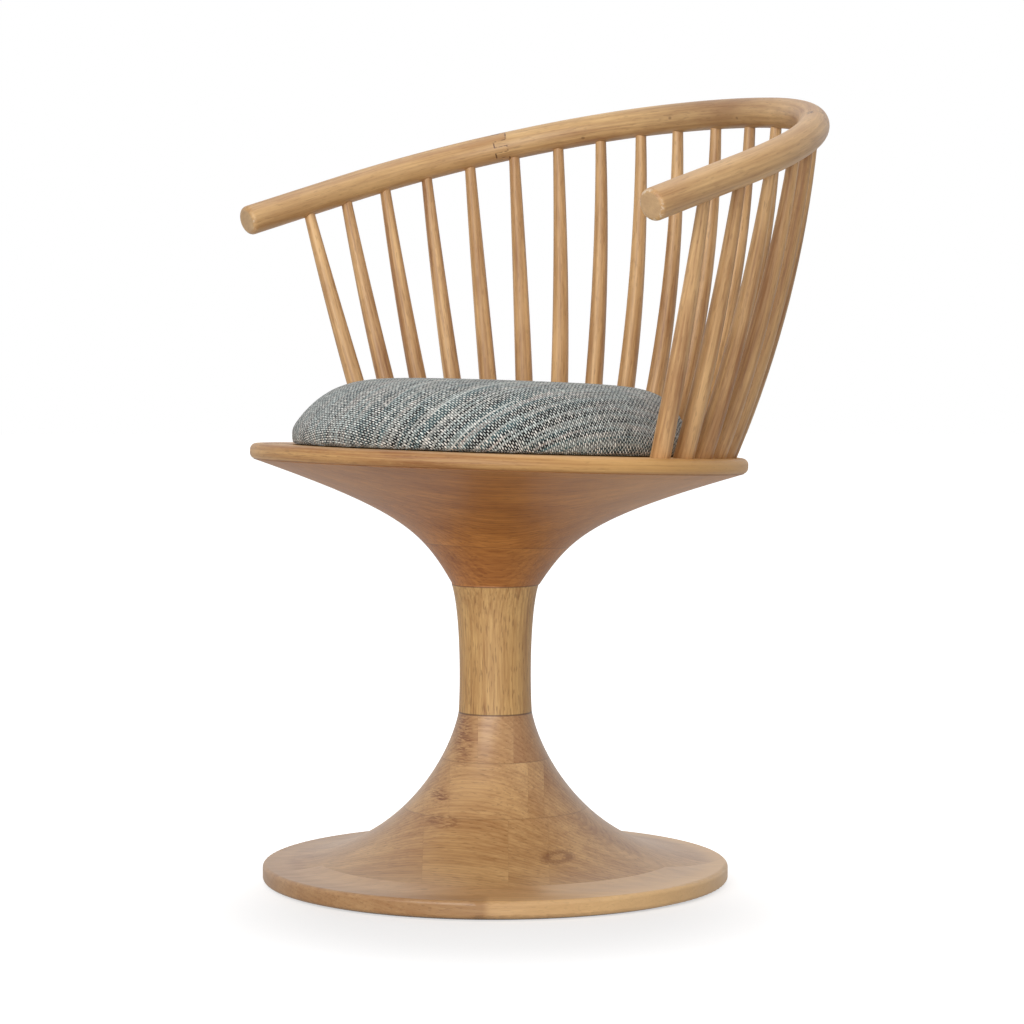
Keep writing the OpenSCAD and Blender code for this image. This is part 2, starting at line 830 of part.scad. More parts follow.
base_felt();
base_disc();
base_layer_lower();
base_layer_middle();
base_layer_upper();
column();
seat_layer_lower();
seat_layer_middle();
seat_layer_upper();
seat_board();
spindle(1);  // spindle_01
spindle(2);  // spindle_02
spindle(3);  // spindle_03
spindle(4);  // spindle_04
spindle(5);  // spindle_05
spindle(6);  // spindle_06
spindle(7);  // spindle_07
spindle(8);  // spindle_08
spindle(9);  // spindle_09
spindle(10);  // spindle_10
spindle(11);  // spindle_11
spindle(12);  // spindle_12
spindle(13);  // spindle_13
spindle(14);  // spindle_14
spindle(15);  // spindle_15
spindle(16);  // spindle_16
spindle(17);  // spindle_17
spindle(18);  // spindle_18
spindle(19);  // spindle_19
spindle(20);  // spindle_20
spindle(21);  // spindle_21
crest_rail();
arm_left();
arm_right();
cushion();
cushion_foam();
cushion_board();
grip_discs();
tie_rod();
rod_washers();
rod_nuts();
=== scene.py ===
from math import acos, atan2, cos, degrees, exp, hypot, pi, radians, sin

import bpy
import numpy as np
from mathutils import Matrix, Vector


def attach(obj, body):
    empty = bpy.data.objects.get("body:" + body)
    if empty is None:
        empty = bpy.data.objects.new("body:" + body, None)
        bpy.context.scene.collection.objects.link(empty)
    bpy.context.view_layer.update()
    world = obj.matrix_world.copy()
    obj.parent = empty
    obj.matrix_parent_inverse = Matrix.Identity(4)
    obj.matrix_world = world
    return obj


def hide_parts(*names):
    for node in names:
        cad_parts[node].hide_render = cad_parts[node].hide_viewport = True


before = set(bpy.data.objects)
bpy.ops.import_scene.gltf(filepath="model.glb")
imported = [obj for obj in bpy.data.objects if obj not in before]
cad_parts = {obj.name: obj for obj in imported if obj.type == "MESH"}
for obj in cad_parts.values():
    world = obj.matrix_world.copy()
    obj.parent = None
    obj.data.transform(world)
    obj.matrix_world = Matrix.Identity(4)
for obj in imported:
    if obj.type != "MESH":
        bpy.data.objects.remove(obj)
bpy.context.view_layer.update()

# Lengths are metres. The origin is on the floor on the column's axis, and the front is at -Y.
# The photo shows the side that faces +X and -Y. RIGHT_X and RIGHT_Y are the direction that is
# to the right there.
RIGHT_X = 0.63
RIGHT_Y = 0.776

# Camera
CAMERA_TURN = radians(50.917)
CAMERA_YAW = radians(-0.296)
CAMERA_PITCH = radians(3.441)
CAMERA_DISTANCE = 3.13249
CAMERA_HEIGHT = 0.54464
LENS = 114.48
SENSOR_WIDTH = 36

# Lamps: name, place, height of what they are aimed at, size, power
LAMPS = (
    ("front_window", (1.3, -2.95, 1.75), 0.4, (1.9, 2.0), 54),
    ("low_window", (2.6, -2.3, 0.75), 0.4, (1.6, 1.2), 29),
    ("right_window", (3.4, 0.6, 2.2), 0.4, (2.0, 2.2), 8),
    ("ceiling", (-0.2, 0.5, 3.4), 0.3, (2.4, 2.4), 26),
)
AMBIENT = 0.33

# Where the floor's painted soft shadow is darkest, as its emission is lowest there
SHADOW_MIDDLE = (0.155, -0.126)

# Heights of the turned layers above the floor
FELT = 0.0015
DISC_TOP = FELT + 0.0217
LAYER_MIDDLE = DISC_TOP + 0.048
LAYER_UPPER = LAYER_MIDDLE + 0.048
COLUMN = FELT + 0.1616
SEAT = COLUMN + 0.1236

# Paler ring round the top of the floor disc, its rounded edge, and the ring's two joints by
# their angle and by the distance from the axis at which they have it
DISC_RING = 0.1752
DISC_EDGE = 0.0045
LEFT_JOINT, LEFT_JOINT_R = radians(-109.3), 0.1775
RIGHT_JOINT, RIGHT_JOINT_R = radians(27), 0.1746

# Knot of the base: how far right and high it lies, and half its width and height
KNOT_AT = (0.0586, 0.0404)
KNOT_SIZE = (0.015, 0.0048)

# Seat, whose heights are measured square to its tilt, from the column's upper end
SEAT_TILT = radians(2.35)
SEAT_H = 0.129
SEAT_R = 0.2396
SEAT_LAYER = 0.038
RIM_H = 0.0145

# Bent rail: a wide bend at the back, a narrower one at each shoulder, and straight arms
RAIL_R = 0.015
BACK_BEND = 0.418
BACK_ANGLE = radians(11)
SHOULDER_BEND = 0.2717
SHOULDER_END = radians(86)
ARM = 0.1245
RAIL_SLOPE = radians(16.45)
RAIL_BEHIND = 0.2883
RAIL_ABOVE_SEAT = 0.3328
RAIL_ORIGIN = Vector((
    0,
    RAIL_BEHIND - BACK_BEND * cos(RAIL_SLOPE),
    SEAT + SEAT_H * cos(SEAT_TILT) + RAIL_ABOVE_SEAT - BACK_BEND * sin(RAIL_SLOPE),
))
SHOULDER_CENTRE = Vector((
    (BACK_BEND - SHOULDER_BEND) * sin(BACK_ANGLE),
    (BACK_BEND - SHOULDER_BEND) * cos(BACK_ANGLE),
))
BACK_LENGTH = BACK_BEND * BACK_ANGLE
BENDS_LENGTH = BACK_LENGTH + SHOULDER_BEND * (SHOULDER_END - BACK_ANGLE)
RAIL_END = BENDS_LENGTH + ARM

# Finger joints, by their distance along the rail from the middle of the back
FINGER_PLACE = 0.259
FINGER_LENGTH = 0.014
FINGER = 0.006

# The arm's straight length, ring by ring, and its end: rounded by END_ROUND over END_TURNS,
# then two rings of a face that is slightly domed
ARM_STEPS = (0.02, 0.02, 0.02, 0.02, 0.02, 0.01951)
END_ROUND = 0.005
END_TURNS = [radians(15 * i) for i in range(6)]
END_RINGS = (0.0095, 0.005)
END_DOME = 0.00008

# Spindles, counted from the middle of the back: distances along the rail, and degrees round
# the seat, from the middle one to the next and between the others
FOOT_R = SEAT_R - 0.0236
AIM_H = SEAT_H - 0.005
SPINDLES_A_SIDE = 10
FIRST_TOP, TOP_PITCH = 0.054, 0.048
FIRST_FOOT, FOOT_PITCH = 8.97, 8.62

# Their bow is largest at the back, they taper from the seat to the rail, and their ends reach
# a little past the line's own ends, into the rail and the seat
LEAST_BOW, MORE_BOW, BOW_FALL = 0.0027, 0.0139, 1.82
SPINDLE_TOP_R, SPINDLE_FOOT_R, TAPER = 0.0052, 0.0095, 1.6
FIRST_SHARE, SHARES = -0.012, 1.018
BLANK_RINGS = 18
PATH_STEPS = 24

# How far the wood's pattern moves on from one spindle to the next
GRAIN_SHIFT = (0.037, 0.061, 1.7)

# Cushion, in its own frame on the seat
PAD_R = 0.1905
PAD_FORWARD = 0.010
PAD_BOTTOM = SEAT_H + 0.0003
PAD_BELLY = 0.0131
PAD_TOP = 0.0637

# Its shoulders are fuller at the back and rise to a dome, its side bulges, and its underside
# is drawn in
PAD_FULL, PAD_FULLER_BACK = 9.11, 2.66
PAD_SLOPE, PAD_DOME, PAD_CROWN = 0.482, 3.05, 0.0033
PAD_BULGE, PAD_BULGE_H, PAD_BULGE_REACH = 0.0016, 0.0075, 0.011
PAD_DRAW = 0.0015

# It starts smaller, swells unevenly, and keeps above its foam and the seat
PAD_SHRINK = 0.003
PAD_UNEVEN = 0.0007
PAD_SUNK = -0.0004
PAD_LIFT = 0.0006
CLOTH_STEPS = 20

# Weave
ROW_PITCH = 0.0024
PICK_PITCH = 0.0023
DASH_LENGTH = 0.0020
DASH_WIDTH = 0.00070

# Dark and light tone of each wood, and the tone of glue lines and gaps, from 0 to 255
BASE_WOOD = (141, 91, 47), (216, 174, 119)
DISC_WOOD = (158, 107, 58), (216, 174, 122)
COLUMN_WOOD = (150, 102, 50), (224, 183, 119)
SEAT_WOOD = (124, 64, 20), (202, 136, 68)
RIM_WOOD = (142, 91, 43), (211, 166, 106)
RAIL_WOOD = (150, 101, 56), (224, 184, 128)
SPINDLE_WOOD = (138, 88, 46), (230, 187, 132)
GLUE_LINE = (84, 50, 26)


def to_right(x, y):
    """How far a place lies to the right of the column, on the side that the photo shows."""
    return x * RIGHT_X + y * RIGHT_Y


def to_front(x, y):
    """How far a place lies before the column, on the side that the photo shows."""
    return x * RIGHT_Y - y * RIGHT_X


def on_seat(x, y, h):
    """Point of the tilted seat, from its place on the seat and its height."""
    c, s = cos(SEAT_TILT), sin(SEAT_TILT)
    return Vector((x, y * c + h * s, SEAT - y * s + h * c))


def rail_flat(length):
    """Middle line of the rail in its own plane: place and angle from the back."""
    if length <= BACK_LENGTH:
        angle = length / BACK_BEND
        return Vector((BACK_BEND * sin(angle), BACK_BEND * cos(angle))), angle
    angle = min(BACK_ANGLE + (length - BACK_LENGTH) / SHOULDER_BEND, SHOULDER_END)
    place = SHOULDER_CENTRE + SHOULDER_BEND * Vector((sin(angle), cos(angle)))
    past = max(length - BENDS_LENGTH, 0)
    return place + past * Vector((cos(angle), -sin(angle))), angle


def on_rail(length, side):
    """Point of the rail's middle line, from its length along the line."""
    place = rail_flat(length)[0]
    return RAIL_ORIGIN + Vector((
        side * place.x, place.y * cos(RAIL_SLOPE), place.y * sin(RAIL_SLOPE)
    ))


# Camera, lamps and floor


def place_camera():
    """Camera that looks at the chair as the photo does."""
    bpy.context.scene.view_settings.view_transform = "Standard"
    across = Vector((cos(CAMERA_TURN), sin(CAMERA_TURN), 0))
    ahead = Vector((-sin(CAMERA_TURN), cos(CAMERA_TURN), 0))
    right = across * cos(CAMERA_YAW) + ahead * sin(CAMERA_YAW)
    level = ahead * cos(CAMERA_YAW) - across * sin(CAMERA_YAW)
    view = level * cos(CAMERA_PITCH) - Vector((0, 0, sin(CAMERA_PITCH)))
    up = level * sin(CAMERA_PITCH) + Vector((0, 0, cos(CAMERA_PITCH)))
    lens = bpy.data.cameras.new("photo_camera")
    lens.sensor_width = SENSOR_WIDTH
    lens.lens = LENS
    lens.clip_start = 0.05
    lens.clip_end = 100
    camera = bpy.data.objects.new("photo_camera", lens)
    bpy.context.collection.objects.link(camera)
    turned = Matrix((right, up, -view)).transposed().to_4x4()
    place = -ahead * CAMERA_DISTANCE + Vector((0, 0, CAMERA_HEIGHT))
    camera.matrix_world = Matrix.Translation(place) @ turned
    bpy.context.scene.camera = camera


def soft_lamp(name, place, aim_height, size, power):
    """Large lamp that is aimed at a height above the column's foot."""
    data = bpy.data.lights.new(name, "AREA")
    data.shape = "RECTANGLE"
    data.size, data.size_y = size
    data.energy = power
    lamp = bpy.data.objects.new(name, data)
    bpy.context.collection.objects.link(lamp)
    toward = Vector((0, 0, aim_height)) - Vector(place)
    turned = toward.to_track_quat("-Z", "Y").to_matrix().to_4x4()
    lamp.matrix_world = Matrix.Translation(place) @ turned


class Link:
    """An output of a shader node that takes part in sums like a number."""

    def __init__(self, finish, socket):
        self.finish = finish
        self.socket = socket

    def maths(self, operation, *values):
        return self.finish.node(
            "ShaderNodeMath", {"operation": operation}, dict(enumerate(values))
        )

    def __add__(self, other):
        return self.maths("ADD", self, other)

    __radd__ = __add__

    def __sub__(self, other):
        return self.maths("SUBTRACT", self, other)

    def __rsub__(self, other):
        return self.maths("SUBTRACT", other, self)

    def __mul__(self, other):
        return self.maths("MULTIPLY", self, other)

    __rmul__ = __mul__

    def __truediv__(self, other):
        return self.maths("DIVIDE", self, other)

    def __pow__(self, other):
        return self.maths("POWER", self, other)

    def __lt__(self, other):
        return self.maths("LESS_THAN", self, other)

    def __gt__(self, other):
        return self.maths("GREATER_THAN", self, other)

    def __neg__(self):
        return self.maths("MULTIPLY", self, -1)

    def __mod__(self, other):
        return self.maths("FLOORED_MODULO", self, other)

    def __abs__(self):
        return self.maths("ABSOLUTE", self)

    def floor(self):
        return self.maths("FLOOR", self)

    def fract(self):
        return self.maths("FRACT", self)

    def root(self):
        return self.maths("SQRT", self)

    def least(self, other):
        return self.maths("MINIMUM", self, other)

    def most(self, other):
        return self.maths("MAXIMUM", self, other)

    def between(self, low, high, to_low=0, to_high=1):
        """The value spread from one range to another, held at its ends."""
        return self.finish.node(
            "ShaderNodeMapRange", {"clamp": True, "interpolation_type": "SMOOTHSTEP"},
            {"Value": self, "From Min": low, "From Max": high,
             "To Min": to_low, "To Max": to_high},
        )


class Finish:
    """A material that is built from nodes."""

    def __init__(self, name):
        self.material = bpy.data.materials.new(name)
        self.material.use_nodes = True
        self.tree = self.material.node_tree
        self.shader = self.tree.nodes["Principled BSDF"]

    def node(self, kind, settings=None, values=None, output=0):
        """Output of a new node, from its settings and the values or links of its sockets."""
        made = self.tree.nodes.new(kind)
        for key, value in (settings or {}).items():
            if key == "stops":
                stops = made.color_ramp.elements
                stops[0].position, stops[0].color = value[0]
                stops[-1].position, stops[-1].color = value[-1]
                for place, shade in value[1:-1]:
                    stops.new(place).color = shade
            elif key == "ramp":
                made.color_ramp.interpolation = value
            else:
                setattr(made, key, value)
        for key, value in (values or {}).items():
            if isinstance(value, Link):
                self.tree.links.new(value.socket, made.inputs[key])
            else:
                made.inputs[key].default_value = value
        return Link(self, made.outputs[output])

    def place(self):
        """Object coordinates, split into x, y and z."""
        return self.split(self.node("ShaderNodeTexCoord", output="Object"))

    def attribute(self, name):
        return self.split(
            self.node("ShaderNodeAttribute", {"attribute_name": name}, output="Vector")
        )

    def split(self, vector):
        parts = self.node("ShaderNodeSeparateXYZ", {}, {0: vector}).socket.node
        return [Link(self, parts.outputs[i]) for i in range(3)]

    def join(self, x, y, z):
        return self.node("ShaderNodeCombineXYZ", {}, {0: x, 1: y, 2: z})

    def bearing(self, x, y):
        """Angle round the column's axis."""
        return self.node("ShaderNodeMath", {"operation": "ARCTAN2"}, {0: y, 1: x})

    def noise(self, vector, scale=1, detail=2, rough=0.5, distort=0):
        return self.node(
            "ShaderNodeTexNoise", {"noise_dimensions": "3D"},
            {"Vector": vector, "Scale": scale, "Detail": detail, "Roughness": rough,
             "Distortion": distort},
        )

    def chance(self, *values):
        """A random number that stays the same for the same whole numbers."""
        x, y, z = (list(values) + [0, 0])[:3]
        return self.node(
            "ShaderNodeTexWhiteNoise", {"noise_dimensions": "3D"},
            {"Vector": self.join(x, y, z)},
        )

    def blend(self, share, first, second, way="MIX"):
        return self.node(
            "ShaderNodeMix", {"data_type": "RGBA", "blend_type": way},
            {0: share, 6: first, 7: second}, output=2,
        )

    def ramp(self, value, stops, way="LINEAR"):
        return self.node("ShaderNodeValToRGB", {"stops": stops, "ramp": way}, {0: value})

    def wire(self, **sockets):
        for key, value in sockets.items():
            socket = self.shader.inputs[key.replace("_", " ")]
            if isinstance(value, Link):
                self.tree.links.new(value.socket, socket)
            else:
                socket.default_value = value

    def relief(self, height, depth, strength=1.0):
        bump = self.node(
            "ShaderNodeBump", {}, {"Height": height, "Distance": depth, "Strength": strength}
        )
        self.wire(Normal=bump)


def tone(red, green, blue):
    """Linear colour from the usual 0 to 255 values."""
    def linear(value):
        value /= 255
        return value / 12.92 if value < 0.04045 else ((value + 0.055) / 1.055) ** 2.4
    return (linear(red), linear(green), linear(blue), 1)


def lay_floor():
    """Pale floor that looks white to the camera, with a painted soft shadow round the chair where
    its emission is lowered, over the real shadow.
    """
    bpy.ops.object.select_all(action="DESELECT")
    bpy.ops.mesh.primitive_circle_add(vertices=96, radius=12, fill_type="NGON")
    floor = bpy.context.object
    floor.name = "studio_floor"
    finish = Finish("pale_floor")
    path = finish.tree.nodes.new("ShaderNodeLightPath")
    seen = Link(finish, path.outputs["Is Camera Ray"])
    seen = seen.most(Link(finish, path.outputs["Is Transmission Ray"]))
    seen = seen.most(Link(finish, path.outputs["Is Glossy Ray"]) * 0.45)
    x, y, _ = finish.place()
    x, y = x - SHADOW_MIDDLE[0], y - SHADOW_MIDDLE[1]
    # Painted shadow: the emission dims towards SHADOW_MIDDLE
    glow_with_painted_shadow = (x * x + y * y).root().between(0.12, 0.5, 0.5, 1.0)
    finish.wire(
        Base_Color=(0.55, 0.55, 0.55, 1), Roughness=1.0, Specular_IOR_Level=0.0,
        Emission_Color=finish.join(*[seen * glow_with_painted_shadow] * 3), Emission_Strength=1.0,
    )
    floor.data.materials.append(finish.material)


def light_world():
    """White air that looks pure white to the camera and lights the chair more softly."""
    world = bpy.data.worlds.new("studio_air")
    bpy.context.scene.world = world
    world.use_nodes = True
    tree = world.node_tree
    tree.nodes.clear()
    path = tree.nodes.new("ShaderNodeLightPath")
    seen = path.outputs["Is Camera Ray"]
    for ray in ("Is Transmission Ray", "Is Glossy Ray"):
        either = tree.nodes.new("ShaderNodeMath")
        either.operation = "MAXIMUM"
        tree.links.new(seen, either.inputs[0])
        tree.links.new(path.outputs[ray], either.inputs[1])
        seen = either.outputs[0]
    air = tree.nodes.new("ShaderNodeMixShader")
    tree.links.new(seen, air.inputs[0])
    for socket, strength in ((1, AMBIENT), (2, 1.0)):
        light = tree.nodes.new("ShaderNodeBackground")
        light.inputs["Color"].default_value = (1, 1, 1, 1)
        light.inputs["Strength"].default_value = strength
        tree.links.new(light.outputs[0], air.inputs[socket])
    result = tree.nodes.new("ShaderNodeOutputWorld")
    tree.links.new(air.outputs[0], result.inputs[0])


# Wood


def wooden(finish, along, side, up, woods, ring=0.0045, pith=(0.03, -0.2), rings=0.12,
           clouds=1.0, bands=1.0, fibre=1.0, ticks=0.35, warp=0.012):
    """Colour, relief and streaks of lacquered wood, from coordinates along and across its fibres.

    woods are its dark and its light tone. ring is the width of a year ring and pith the place
    of the tree's heart. rings, clouds, bands, fibre and ticks are the strengths of the year
    rings, broad clouds, bands, fine fibres and dark pores, and warp is how far the rings waver.
    """
    dark, light = (tone(*shade) for shade in woods)
    sway = finish.noise(finish.join(side * 14, up * 14, along * 3), 1, 2) - 0.5
    x = side + sway * warp - pith[0]
    z = up + sway * (warp * 0.7) - pith[1]
    from_pith = (x * x + z * z).root()
    uneven = finish.noise(finish.join(from_pith * 160, along * 2, 0), 1, 1) * 1.6
    year = (from_pith / ring + uneven).fract()
    late = year.between(0.2, 0.9) * (1 - year.between(0.9, 1.0))
    cloud = finish.noise(finish.join(side * 17, up * 17, along * 7), 1, 3, 0.6) - 0.5
    band = finish.noise(finish.join(side * 130, up * 130, along * 4), 1, 2, 0.6) - 0.5
    streak = finish.noise(finish.join(side * 480, up * 480, along * 24), 1, 3, 0.65)
    fleck = finish.noise(finish.join(side * 620, up * 620, along * 85), 1, 1)
    tick = fleck.between(0.58, 0.70) * ticks
    value = (
        0.56 + cloud * (1.5 * clouds) + band * (1.2 * bands) + (streak - 0.5) * (0.8 * fibre)
        - late * rings
    )
    middle = tuple(0.52 * a + 0.48 * b for a, b in zip(dark, light))
    colour = finish.ramp(value, [(0.05, dark), (0.52, middle), (0.98, light)])
    colour = finish.blend(tick, colour, tuple(c * 0.55 for c in dark[:3]) + (1,))
    return colour, streak * 0.5 - tick * 0.8, streak


def satin(finish, colour, height, streak, gloss=0.36, coat=0.22):
    """Thin satin lacquer, a little rougher where the fibres stand out."""
    finish.wire(Base_Color=colour, Roughness=streak * 0.14 + gloss, Coat_Weight=coat,
                Coat_Roughness=0.28)
    finish.relief(height, 0.0003, 0.6)


def dress(node, finish):
    """Give a carried-over node its finish."""
    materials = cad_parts[node].data.materials
    materials.clear()
    materials.append(finish.material)


def dark_line(finish, colour, distance, width, strength=0.6):
    """Glue line or gap, from the distance to its middle."""
    line = (1 - abs(distance).between(width * 0.4, width)) * strength
    return finish.blend(line, colour, tone(*GLUE_LINE))


def boards_of(side, seams, shades):
    """Number, shade and nearest seam of boards that are glued side by side."""
    index, shade, seam = 0, shades[0], 1
    for place, before, after in zip(seams, shades, shades[1:]):
        index = (side > place) + index
        shade = side.between(place - 0.002, place + 0.002, 0, after - before) + shade
        seam = abs(side - place).least(seam)
    return index, shade, seam


def burl(finish, colour, right, z, front, at, size, strength):
    """Dark rippled figure round one place of the side that the photo shows."""
    fall = (((right - at[0]) / size[0]) ** 2 + ((z - at[1]) / size[1]) ** 2).root()
    ripple = finish.noise(finish.join(right * 130 + at[0] * 90, z * 620, 4), 1, 2, 0.6, 0.6)
    mask = (1 - fall.between(0.35, 1.0)) * ripple.between(0.42, 0.62) * (front > 0)
    return finish.blend(mask * strength, colour, tone(112, 60, 26))


def base_finish(node, low, seams, shades, pith, **grain):
    """Layer that is glued from boards side by side, each with its own shade and rings."""
    finish = Finish(node + "_wood")
    x, y, z = finish.place()
    right, front = to_right(x, y), to_front(x, y)
    index, shade, seam = boards_of(right, seams, shades)
    colour, height, streak = wooden(
        finish, right * 0.94 + front * 0.34 + index * 3, front * 0.94 - right * 0.34, z - low,
        BASE_WOOD, pith=pith, bands=0.5, fibre=0.7, **grain
    )
    colour = finish.blend(shade.between(0, 1), colour, tone(214, 180, 138))
    colour = finish.blend((-shade).between(0, 1), colour, tone(132, 78, 38))
    colour = dark_line(finish, colour, seam, 0.0007, 0.06)
    return finish, colour, height, streak, (x, y, z), (right, front)


def add_knot(finish, colour, right, z, front):
    """Small oval knot low on the side that the photo shows."""
    aside, above = (right - KNOT_AT[0]) / KNOT_SIZE[0], (z - KNOT_AT[1]) / KNOT_SIZE[1]
    knot = (aside ** 2 + above ** 2).root()
    knot = knot + (finish.noise(finish.join(right * 500, z * 700, 0)) - 0.5) * 0.8
    ring = knot.between(0.25, 0.65) * (1 - knot.between(0.7, 1.3)) * (front > 0)
    return finish.blend(ring * 0.55, colour, tone(110, 60, 28))


def finish_base():
    """Bell of the base, with its burls, its knot and the lines between its layers."""
    # Node, underside, seams between its boards, shade of each board, and place of the pith
    layers = (
        ("base_layer_lower", DISC_TOP, (-0.068, 0.012, 0.05), (0.1, -0.02, 0.1, 0.0),
         (0.02, 0.06)),
        ("base_layer_middle", LAYER_MIDDLE, (-0.044, 0.031, 0.0464), (-0.04, 0.14, -0.1, -0.03),
         (0.2, -0.1)),
        ("base_layer_upper", LAYER_UPPER, (-0.0165, 0.0175), (-0.06, -0.28, -0.42), (-0.1, 0.1)),
    )
    # Place, size and strength of each burl
    burls = (
        ((-0.03, 0.141), (0.012, 0.034), 0.8),
        ((-0.053, 0.088), (0.012, 0.009), 0.8),
        ((-0.05, 0.068), (0.026, 0.008), 0.6),
    )
    for node, low, seams, shades, pith in layers:
        finish, colour, height, streak, (_, _, z), (right, front) = base_finish(
            node, low, seams, shades, pith, rings=0.14, clouds=0.7
        )
        if node == "base_layer_lower":
            colour = add_knot(finish, colour, right, z, front)
        for at, size, strength in burls:
            colour = burl(finish, colour, right, z, front, at, size, strength)
        colour = dark_line(finish, colour, z - LAYER_MIDDLE, 0.0007, 0.22)
        colour = dark_line(finish, colour, z - LAYER_UPPER, 0.0007, 0.3)
        colour = dark_line(finish, colour, z - COLUMN, 0.0011, 0.8)
        satin(finish, colour, height, streak)
        dress(node, finish)


def finish_disc():
    """Floor disc: boards in its middle, and a lighter ring and edge with joints at both sides,
    lightened at their ends partly by board tone and partly by painted sheen.
    """
    finish, colour, _, _, (x, y, z), (right, front) = base_finish(
        "base_disc", DISC_TOP, (-0.12, -0.03, 0.07), (-0.2, -0.12, -0.16, -0.1), (0.1, -0.3),
        clouds=0.6
    )
    pale, height, streak = wooden(
        finish, right, front, z, DISC_WOOD, pith=(0.0, -0.4), clouds=0.5, bands=0.5, fibre=0.7,
    )
    reach = (x * x + y * y).root()
    bearing = finish.bearing(x, y)
    # Both joints run a little askew from the ring's inner to its outer side
    past_left_joint = bearing > (reach - LEFT_JOINT_R) * -0.9 + LEFT_JOINT
    before_right_joint = bearing < (reach - RIGHT_JOINT_R) * 9.8 + RIGHT_JOINT
    ring = past_left_joint * before_right_joint * (reach - DISC_RING).between(-0.0006, 0.0006)
    edge = (DISC_TOP - DISC_EDGE - z).between(-0.001, 0.001)
    # The edge's left board is darker; its right board is lighter and grows lighter towards the
    # right, partly board tone and partly painted sheen
    right_board = right.between(-0.013, -0.003)
    pale = finish.blend(edge * (1 - right_board) * 0.33, pale, tone(126, 84, 46))
    pale_board_and_sheen = right.between(-0.05, 0.16, 0.22, 0.64)
    pale = finish.blend(edge * right_board * pale_board_and_sheen, pale, tone(240, 198, 140))
    # The ring is lighter on its right part and towards its left end: partly board tone, partly
    # painted sheen
    pale_board_and_sheen = right.between(0.03, 0.06, 0, 0.32) + right.between(-0.1, -0.05, 0.18, 0)
    pale = finish.blend((1 - edge) * pale_board_and_sheen, pale, tone(236, 208, 172))
    satin(finish, finish.blend(ring.most(edge), colour, pale), height, streak)
    dress("base_disc", finish)


def finish_column():
    """Column, with its grain upright and fine dark lines at both its joints."""
    finish = Finish("column_wood")
    x, y, z = finish.place()
    colour, height, streak = wooden(
        finish, z, x, y, COLUMN_WOOD, pith=(-0.05, 0.35),
        clouds=0.5, bands=0.6, fibre=1.3, ticks=0.45,
    )
    colour = dark_line(finish, colour, z - COLUMN, 0.0011, 0.8)
    colour = dark_line(finish, colour, z - SEAT, 0.0009, 0.6)
    satin(finish, colour, height, streak, 0.44, 0.1)
    dress("column", finish)


def finish_seat():
    """Bell and seat board, whose ends at the left and the right are lightened by a painted sheen.
    """
    # Node, place of its piece of wood in the pattern, how strong the painted sheen is at its left
    # and right ends, and how far from the middle that is reached
    parts = (
        ("seat_layer_lower", 0.0, 0.05, 0.17, 0.045),
        ("seat_layer_middle", 0.31, 0.08, 0.26, 0.10),
        ("seat_layer_upper", 0.67, 0.22, 0.44, 0.16),
        ("seat_board", 0.13, 0.2, 0.35, 0.16),
    )
    for node, seed, left_sheen, right_sheen, reach in parts:
        finish = Finish(node + "_wood")
        x, y, z = finish.place()
        h = (z - SEAT) * cos(SEAT_TILT) + y * sin(SEAT_TILT)
        right, front = to_right(x, y), to_front(x, y)
        colour, height, streak = wooden(
            finish, right + seed * 9, front, h + seed, SEAT_WOOD, ring=0.0035,
            pith=(0.25 + seed, -0.05 + seed), clouds=0.8, bands=0.6, rings=0.1, warp=0.03,
        )
        # Painted sheen: the left and right ends blend towards a light tone
        painted_sheen = (-right).between(0.0, reach, 0, left_sheen)
        painted_sheen = painted_sheen + right.between(0.0, reach, 0, right_sheen)
        colour = finish.blend(painted_sheen, colour, tone(214, 163, 100))
        gloss, coat = 0.47, 0.14
        if node == "seat_board":
            colour = rim_colour(finish, colour, x, y, h, right)
            gloss, coat = 0.46, 0.08
        colour = dark_line(finish, colour, h - SEAT_LAYER, 0.0006, 0.3)
        colour = dark_line(finish, colour, z - SEAT, 0.0009, 0.6)
        satin(finish, colour, height, streak, gloss, coat)
        dress(node, finish)


def rim_colour(finish, colour, x, y, h, right):
    """Seat board whose rim has its grain run round it and painted light towards the right, above a
    fine line of painted shade.
    """
    rim, _, _ = wooden(
        finish, finish.bearing(x, y) * SEAT_R, (x * x + y * y).root(), h * 1.5, RIM_WOOD,
        pith=(0.03, -0.5), clouds=0.7, bands=1.2,
    )
    # Painted light: the rim grows lighter towards the right
    rim = finish.blend(right.between(-0.05, 0.16) * 0.6, rim, tone(220, 168, 100))
    on_rim = (h - (SEAT_H - RIM_H + 0.0003)).between(-0.0012, 0.0012)
    colour = finish.blend(on_rim.most(0.12), colour, rim)
    # Painted shade: a fine dark line where the rim turns under
    return dark_line(finish, colour, h - (SEAT_H - RIM_H), 0.0011, 0.25)


def speckled(name, nodes, size, detail, rough, stops, depth, varied=0.0, **sockets):
    """Finish whose tone and relief, and roughness where varied, follow one fine noise."""
    finish = Finish(name)
    x, y, z = finish.place()
    speck = finish.noise(finish.join(x * size, y * size, z * size), 1, detail, rough)
    if varied:
        sockets["Roughness"] = speck * varied + sockets["Roughness"]
    finish.wire(Base_Color=finish.ramp(speck, stops), **sockets)
    finish.relief(speck, depth)
    for node in nodes:
        dress(node, finish)


